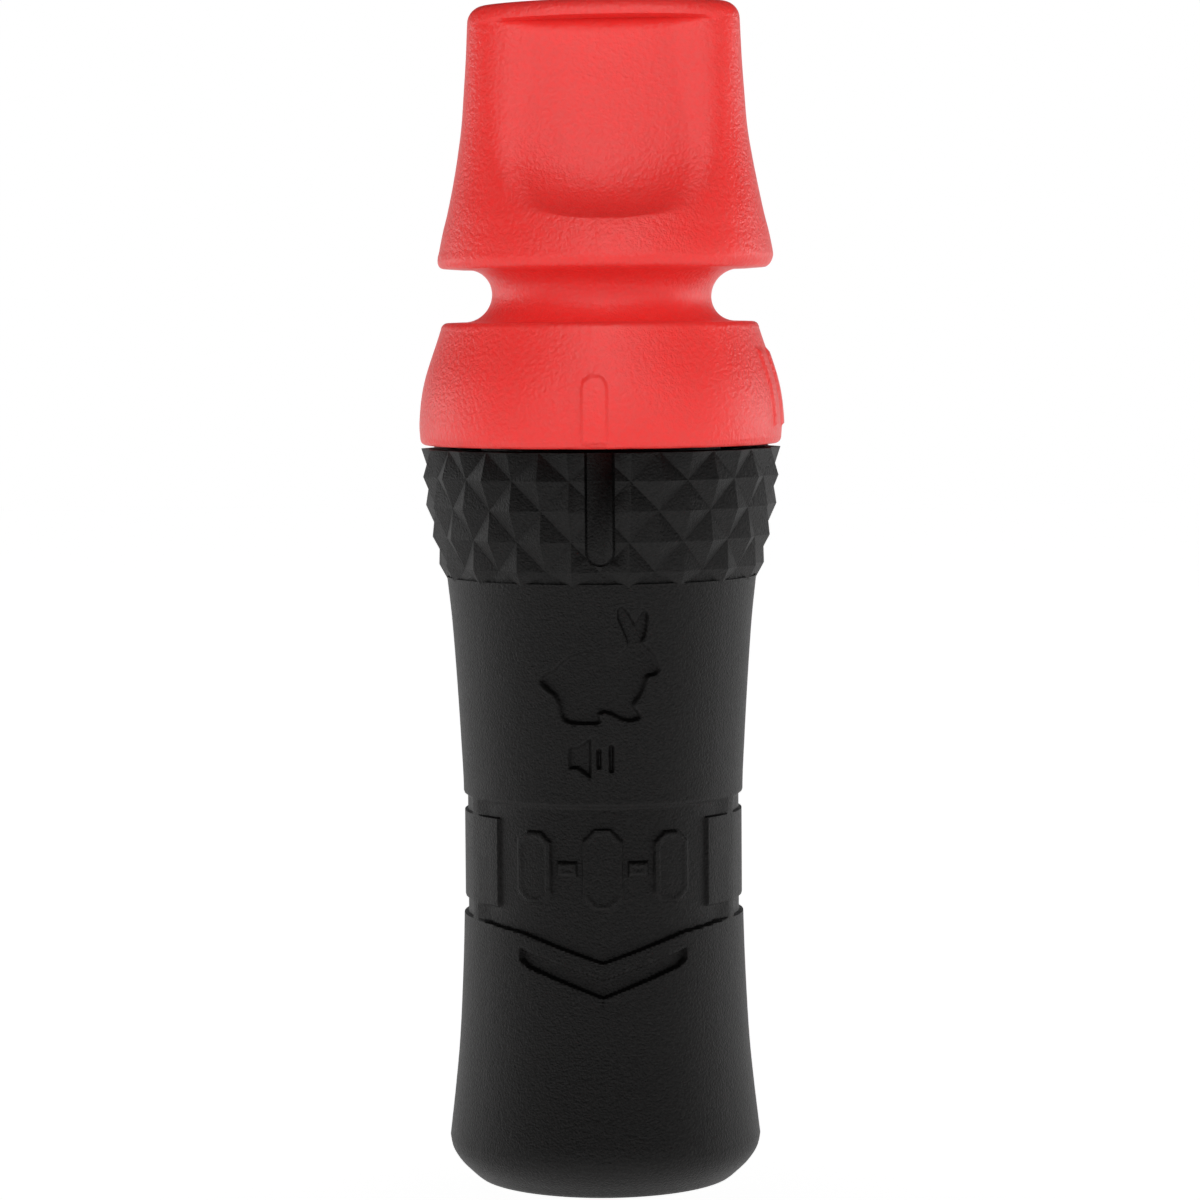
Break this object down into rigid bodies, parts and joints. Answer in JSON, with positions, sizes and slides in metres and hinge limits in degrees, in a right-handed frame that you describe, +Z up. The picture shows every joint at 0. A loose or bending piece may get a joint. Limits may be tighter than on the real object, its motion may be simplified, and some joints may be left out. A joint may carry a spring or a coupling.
{
  "type": "rotary game call",
  "caption": "Hand-held game call: flattened mouthpiece with a lanyard groove, turned over a flared barrel with a diamond grip to select one of several reeds.",
  "frame": {"origin": "centre of the bell end's foot ring, at the lowest point of the barrel", "axes": "+Z up the long axis from the bell end to the lips, -Y out through the index rib, the index slot and the hare pictogram, +X to the right of that face"},
  "size_m": [0.0386, 0.0387, 0.1247],
  "materials": {
    "black_plastic": "moulded, fine grain",
    "red_plastic": "satin, slightly translucent",
    "grey_plastic": "machined satin",
    "ivory_plastic": "moulded satin",
    "board_plastic": "smooth",
    "silicone": "matte",
    "o_ring_rubber": "matte",
    "wedge_cork": "cork filled",
    "brass": "turned",
    "reed_metal": "rolled",
    "steel": "plain"
  },
  "bodies": {
    "barrel": {"barrel": "black_plastic", "reed_carrier": "ivory_plastic", "carrier_o_ring": "o_ring_rubber", "carrier_key": "steel", "snap_ring": "steel", "valve_gasket": "silicone", "tone_board_1": "board_plastic", "reed_wedge_1": "wedge_cork", "tone_board_2": "board_plastic", "reed_wedge_2": "wedge_cork", "tone_board_3": "board_plastic", "reed_wedge_3": "wedge_cork"},
    "mouthpiece": {"mouthpiece": "red_plastic", "plenum_gasket": "silicone", "selector_plate": "grey_plastic", "plate_screw_1": "steel", "plate_screw_2": "steel", "plate_screw_3": "steel", "plate_screw_4": "steel", "spigot_o_ring": "o_ring_rubber", "pivot_screw": "steel", "pivot_insert": "brass", "pivot_washer": "steel", "pivot_spring": "steel", "detent_spring": "steel"},
    "detent_ball": {"detent_ball": "steel"},
    "reed_1": {"reed_1": "reed_metal"},
    "reed_2": {"reed_2": "reed_metal"},
    "reed_3": {"reed_3": "reed_metal"}
  },
  "joints": [
    {"name": "mouthpiece_turn", "type": "hinge", "parent": "barrel", "child": "mouthpiece", "pos_m": [0, 0, 0.0779], "axis": [0, 0, 1], "range_deg": [-120, 120]},
    {"name": "detent_travel", "type": "slide", "parent": "mouthpiece", "child": "detent_ball", "axis": [0, -1, 0], "range_m": [0, 0.0006], "stiffness_N_per_m": 60, "deforming": ["detent_spring"]},
    {"name": "reed_1_flex", "type": "hinge", "parent": "barrel", "child": "reed_1", "pos_m": [0, -0.00835, 0.05], "axis": [-1, 0, 0], "range_deg": [-3, 3], "stiffness_Nm_per_rad": 0.002},
    {"name": "reed_2_flex", "type": "hinge", "parent": "barrel", "child": "reed_2", "pos_m": [0.00723, 0.00417, 0.05], "axis": [0.5, -0.866, 0], "range_deg": [-3, 3], "stiffness_Nm_per_rad": 0.002},
    {"name": "reed_3_flex", "type": "hinge", "parent": "barrel", "child": "reed_3", "pos_m": [-0.00723, 0.00417, 0.05], "axis": [0.5, 0.866, 0], "range_deg": [-3, 3], "stiffness_Nm_per_rad": 0.002}
  ]
}
